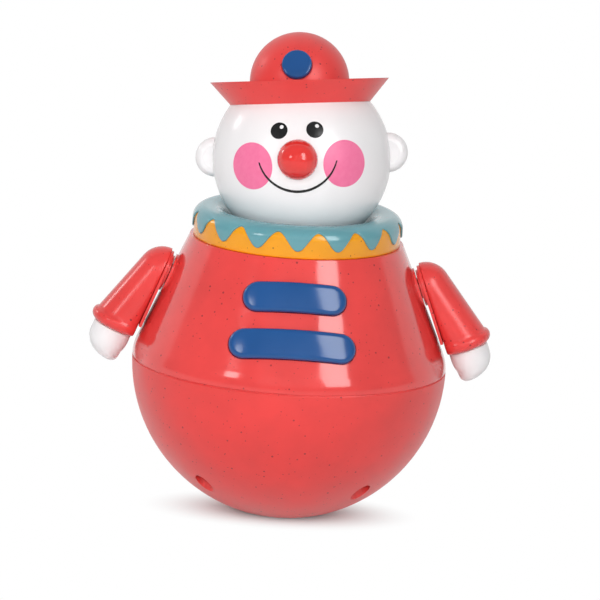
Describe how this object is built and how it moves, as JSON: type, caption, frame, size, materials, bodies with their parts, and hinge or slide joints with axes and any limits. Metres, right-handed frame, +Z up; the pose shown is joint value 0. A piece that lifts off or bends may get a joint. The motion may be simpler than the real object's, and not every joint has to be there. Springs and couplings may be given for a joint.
{
  "type": "roly poly toy",
  "caption": "Round-bottomed self-righting clown toy with a weighted base, a coned body, a ball head in a wavy collar, a brimmed hat and turning arms.",
  "frame": {"origin": "centre of the flat land under the round base", "axes": "+Z up the body axis, -Y out of the clown's chest, +X towards its left arm"},
  "size_m": [0.151, 0.118, 0.182],
  "materials": {
    "coral": "glossy moulded plastic with fine dark plant-fibre specks",
    "yellow": "glossy moulded plastic with fine dark plant-fibre specks",
    "teal": "glossy moulded plastic with fine dark plant-fibre specks",
    "blue": "glossy moulded plastic with fine dark plant-fibre specks",
    "white": "satin-gloss moulded plastic",
    "nose_red": "glossy moulded plastic",
    "ink_black": "pad-printed ink",
    "ink_pink": "pad-printed ink",
    "natural": "unpigmented moulded plastic",
    "iron": "as cast",
    "steel": "bright zinc plate"
  },
  "bodies": {
    "case": {"base_shell": "coral", "body_shell": "coral", "case_screws": "steel", "ballast_weight": "iron", "chime_stand": "natural", "chime_stand_screws": "steel", "chime_rods": "steel", "striker_pin": "steel", "upper_chest_pad": "blue", "lower_chest_pad": "blue", "collar_ring": "yellow", "collar_cap": "teal", "collar_screws": "steel"},
    "striker": {"striker": "steel"},
    "neck": {"neck_stem": "natural", "neck_washer": "steel", "neck_screw": "steel"},
    "head": {"head_front": "white", "head_back": "white", "nose": "nose_red", "eye_prints": "ink_black", "cheek_prints": "ink_pink", "smile_print": "ink_black", "hat": "coral", "hat_button": "blue"},
    "left_arm": {"left_arm_plate": "coral", "left_sleeve": "coral", "left_hand": "white", "left_axle_washer": "steel", "left_axle_screw": "steel"},
    "right_arm": {"right_arm_plate": "coral", "right_sleeve": "coral", "right_hand": "white", "right_axle_washer": "steel", "right_axle_screw": "steel"}
  },
  "joints": [
    {"name": "head_turn", "type": "hinge", "parent": "case", "child": "neck", "pos_m": [0, 0, 0.13531], "axis": [0, 0, 1], "continuous": true},
    {"name": "head_nod", "type": "hinge", "parent": "neck", "child": "head", "pos_m": [0, 0, 0.13531], "axis": [0.9943, -0.0469, 0.0958], "range_deg": [-6, 28]},
    {"name": "left_arm_turn", "type": "hinge", "parent": "case", "child": "left_arm", "pos_m": [0.04705, 0, 0.08861], "axis": [0.9335, 0, 0.3586], "continuous": true},
    {"name": "right_arm_turn", "type": "hinge", "parent": "case", "child": "right_arm", "pos_m": [-0.04705, 0, 0.08861], "axis": [-0.9335, 0, 0.3586], "continuous": true},
    {"name": "striker_swing", "type": "hinge", "parent": "case", "child": "striker", "pos_m": [0, 0, 0.055], "axis": [0, 1, 0], "range_deg": [-24, 24]}
  ]
}
